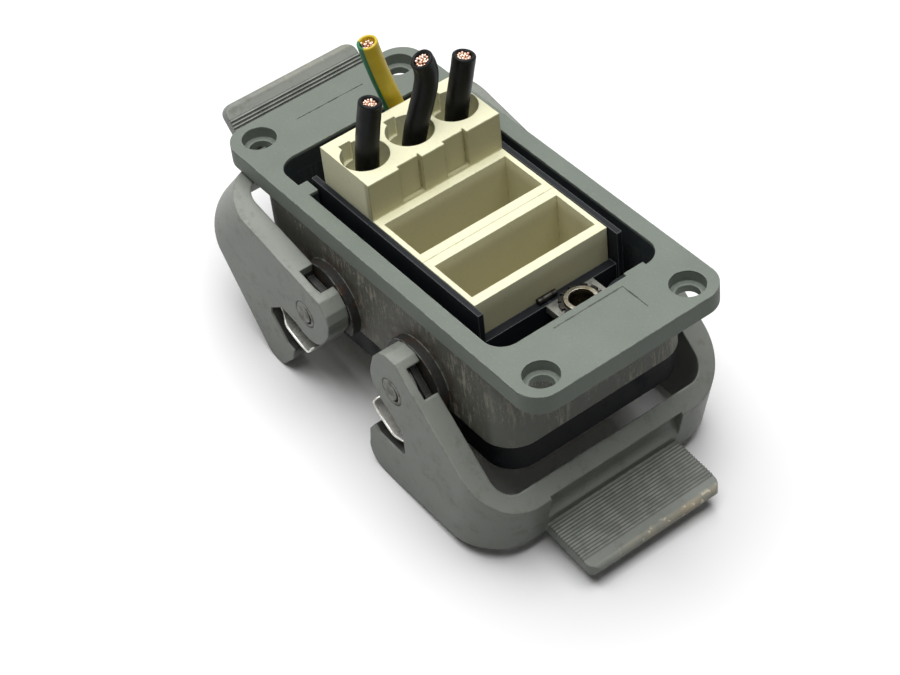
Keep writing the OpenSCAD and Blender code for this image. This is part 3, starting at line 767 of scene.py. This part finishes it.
# %% Make the four wires
power_x = -14.65                # the middle of the power module
routes = {
    "near": [(power_x, -9.95, 2.2), (power_x, -9.95, 8), (-14.1, -8.9, 15), (-13.9, -7.8, 20.4)],
    "mid": [(power_x, 0.2, 2.2), (power_x, 0.2, 11), (-13.3, 6.4, 18), (-13.6, 3.4, 23.7)],
    "far": [(power_x, 9.95, 2.2), (power_x, 9.95, 8), (-13.9, 11.6, 14), (-13.7, 12.7, 19.7)],
}
earth_route = [(-25.4, 6.3, -4), (-25.4, 6.3, 0.5), (-25.5, 2.3, 11), (-25.5, 0.2, 22.6)]
black_radius, earth_radius, jacket_bore, bundle = 2.2, 1.95, 1.4, 1.38


def place(piece, finish, body, stood_for):
    """Gives a new piece its finish and the body it rides on, and hides the solid it stands for.
    """
    piece.data.materials.append(finish.material)
    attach(piece, body)
    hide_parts(stood_for)
    print(piece.name, "has", len(piece.data.polygons), "faces and rides on", body)


for seed, (name, route) in enumerate(routes.items()):
    place(insulation(f"cut_wire_{name}", route, black_radius, jacket_bore, seed),
          black, "housing", f"black_wire_{name}")
    place(strands(f"cut_strands_{name}", route, bundle, 0.5, seed + 10),
          copper, "housing", f"wire_core_{name}")
place(insulation("cut_earth_wire", earth_route, earth_radius, jacket_bore, 5),
      striped, "housing", "earth_wire")
place(strands("cut_earth_strands", earth_route, bundle, 1.2, 15),
      copper, "housing", "earth_wire_core")

# %% [markdown]
# ## Leaf springs
#
# Each ear hides a bent leaf of bright spring steel. It leans on the lug behind the pivot, runs
# down past the pin and flares out in the hook slot, where it pushes the mating hood's pin into
# place. The solids stand for it with a plain strip of even width. The real leaf widens where
# the slot gives it room, so we carry a rounded rectangle along a smooth path and let its width
# grow.

# %% The leaf's path, in the lever's directions: out and high
leaf_path = np.array([(1.2, 4.8), (2.4, 4.0), (3.6, 2.1), (4.1, 0.0), (3.7, -2.6), (3.3, -6.0),
                      (3.1, -10.0), (2.8, -13.4), (2.0, -14.9), (0.7, -15.0), (-2.0, -14.1),
                      (-4.8, -12.6), (-7.2, -10.9), (-8.2, -9.5), (-7.8, -8.5)])
leaf_thick, leaf_middle, leaf_narrow, leaf_grows = 0.5, 25.6, 1.3, 2.1


def smooth(points, per):
    """A Catmull-Rom curve: between two points, a cubic whose slopes there are half the step
    from the point before to the point after."""
    ends = np.vstack([2 * points[0] - points[1], points, 2 * points[-1] - points[-2]])
    before, start, stop, after = (ends[i:len(ends) - 3 + i, None] for i in range(4))
    t = (np.arange(per) / per)[None, :, None]
    bend = 2 * before - 5 * start + 4 * stop - after
    twist = 3 * start - before - 3 * stop + after
    arc = 0.5 * (2 * start + (stop - before) * t + bend * t ** 2 + twist * t ** 3)
    return np.vstack([arc.reshape(-1, points.shape[1]), points[-1]])


leaf_line = smooth(leaf_path, 6)
leaf_steps = np.linalg.norm(np.diff(leaf_line, axis=0), axis=1)
print("a leaf is", round(float(leaf_steps.sum()), 1), "mm long")

# %% [markdown]
# ### A leaf carried along its path
#
# The cross-section is a rounded rectangle: cosine and sine raised to powers below one bulge
# out towards its corners. Mirroring a leaf to the other side of a lever would turn its faces
# inwards, so there its rings run the other way.

# %% The leaf itself
def leaf(name, side, rear):
    """Rings of twelve points. With f going smoothly from 0 to 1 where the slot opens, the
    width is (1.3 + 2.1 f) mm, squeezed at the tip. A ring's points are
    width/2 cos^0.35 across and thickness/2 sin^0.6 along the path's normal."""
    run = np.gradient(leaf_line, axis=0)
    run /= np.linalg.norm(run, axis=1)[:, None]
    normal = np.stack([-run[:, 1], run[:, 0]], -1)
    share = np.linspace(0, 1, len(leaf_line))
    free = np.clip((share - 0.66) / 0.08, 0, 1)
    tip = 1 - 0.35 * np.clip((share - 0.93) / 0.07, 0, 1)
    wide = (leaf_narrow + leaf_grows * free * free * (3 - 2 * free)) * tip
    turn = ring_of(12)
    flat = np.sign(np.cos(turn)) * np.abs(np.cos(turn)) ** 0.35
    thin = np.sign(np.sin(turn)) * np.abs(np.sin(turn)) ** 0.6
    spot = leaf_line[:, None] + leaf_thick / 2 * thin[None, :, None] * normal[:, None]
    y = side * ((leaf_middle + 0.15 * free)[:, None] + wide[:, None] / 2 * flat)
    grid = from_lever(spot[..., 0], y, spot[..., 1], rear)
    return surface(name, grid if (side > 0) != rear else grid[:, ::-1])


bright_leaf = steel("bright_leaf", (232, 232, 226), (190, 188, 178), 0.24, 0.55, 0.08)
for end, rear in (("front", False), ("rear", True)):
    for side, sign in (("near", -1), ("far", 1)):
        place(leaf(f"{end}_leaf_{side}", sign, rear), bright_leaf,
              f"{end}_lever", f"{end}_lever_spring_{side}")

# %% [markdown]
# ## Floor
#
# The connector lies on its closed lever's handle and on the hooks of the open one. We find
# the floor by tilting it until both levers touch it, so that the shadows start where the
# metal meets the ground.

# %% Find the floor
def lowest(name, tilt):
    """Lowest reach of a lever below the origin, measured square to a tilted floor."""
    points = np.array([v.co for v in nodes[name].data.vertices])
    return (points[:, 0] * math.sin(tilt) + points[:, 2] * math.cos(tilt)).min()


tilts = np.radians(np.linspace(-15, 15, 601))
gaps = [abs(lowest("front_lever", t) - lowest("rear_lever", t)) for t in tilts]
tilt = float(tilts[int(np.argmin(gaps))])
level = min(lowest("front_lever", tilt), lowest("rear_lever", tilt))
print("floor tilted by", round(math.degrees(tilt), 2), "degrees, at", round(level / mm, 1), "mm")

# %% [markdown]
# ### A floor that stays white
#
# A studio floor should only show the shadow. The camera sees it nearly white, while it sends
# little light back up, so that the connector's underside stays dark. Farther out it fades into
# the white surroundings, so no horizon shows from any side.

# %% Pale floor
floor_half, floor_gap = 3.0, 0.0002     # in metres
up = Vector((math.sin(tilt), 0, math.cos(tilt)))
along = Vector((math.cos(tilt), 0, -math.sin(tilt)))
corners = [up * (level - floor_gap) + along * x * floor_half + Vector((0, y * floor_half, 0))
           for x, y in ((-1, -1), (1, -1), (1, 1), (-1, 1))]
ground = bpy.data.meshes.new("floor")
ground.from_pydata(corners, [], [(0, 1, 2, 3)])
floor = bpy.data.objects.new("floor", ground)
bpy.context.scene.collection.objects.link(floor)

pale = Finish("pale_floor", Roughness=0.9)
looked_at = pale.value("LightPath", {}, {}, "Is Camera Ray").most(
    pale.value("LightPath", {}, {}, "Is Glossy Ray"))
away = pale.value("VectorMath", {"operation": "LENGTH"}, {0: pale.place}, "Value")
pale.set(Base_Color=pale.mix((0.3, 0.3, 0.3, 1), (0.94, 0.94, 0.94, 1), looked_at),
         Alpha=pale.fall(away, 0.16, 0.34))
floor.data.materials.append(pale.material)
print("floor fades out between 160 and 340 mm from the middle")

# %% [markdown]
# ## Light
#
# One large soft lamp overhead gives a gentle shadow. The surroundings are white where the
# camera or a mirroring surface looks at them, and dim as a light, so that they lift the
# shadows only a little.

# %% World and lamp
scene = bpy.context.scene
world = bpy.data.worlds.new("studio")
scene.world = world
world.use_nodes = True
sky = world.node_tree
rays = sky.nodes.new("ShaderNodeLightPath")
seen = sky.nodes.new("ShaderNodeMath")
seen.operation = "MAXIMUM"
strength = sky.nodes.new("ShaderNodeMapRange")
strength.inputs["To Min"].default_value = 0.08
strength.inputs["To Max"].default_value = 1.0
background = sky.nodes["Background"]
background.inputs["Color"].default_value = (1, 1, 1, 1)
for output, taker in ((rays.outputs["Is Camera Ray"], seen.inputs[0]),
                      (rays.outputs["Is Glossy Ray"], seen.inputs[1]),
                      (seen.outputs[0], strength.inputs["Value"]),
                      (strength.outputs[0], background.inputs["Strength"])):
    sky.links.new(output, taker)

lamp = bpy.data.lights.new("overhead", "AREA")
lamp.size, lamp.energy = 0.8, 9.6
overhead = bpy.data.objects.new("overhead", lamp)
overhead.location = (-0.02, 0.0, 0.75)
overhead.rotation_euler = (-overhead.location).to_track_quat("-Z", "Y").to_euler()
scene.collection.objects.link(overhead)
print("one lamp of", lamp.energy, "W,", overhead.location.z, "m up")

# %% [markdown]
# ## Camera
#
# The camera looks down from the front corner with a long lens. Its place is given as one
# would set up a tripod: the direction it looks from, how far away it stands, how it leans,
# and how far what it aims at lies from the middle of the flange.

# %% Camera
azimuth, elevation, lean = math.radians(57.28), math.radians(44.09), math.radians(-6.81)
distance, aside, above, lens = 0.42198, 0.00246, 0.02301, 95.19
back = Vector((math.sin(azimuth) * math.cos(elevation),
               -math.cos(azimuth) * math.cos(elevation), math.sin(elevation)))
level_right = Vector((math.cos(azimuth), math.sin(azimuth), 0))
level_up = back.cross(level_right)
right = level_right * math.cos(lean) + level_up * math.sin(lean)
top = level_up * math.cos(lean) - level_right * math.sin(lean)
view = bpy.data.cameras.new("camera")
view.lens, view.sensor_width, view.sensor_fit = lens, 36, "HORIZONTAL"
camera = bpy.data.objects.new("camera", view)
camera.matrix_world = (Matrix.Translation(back * distance - right * aside - top * above)
                       @ Matrix((right, top, back)).transposed().to_4x4())
scene.collection.objects.link(camera)
scene.camera = camera
scene.view_settings.view_transform = "Standard"
print("camera", round(distance / mm), "mm from the flange, with a lens of", lens, "mm")
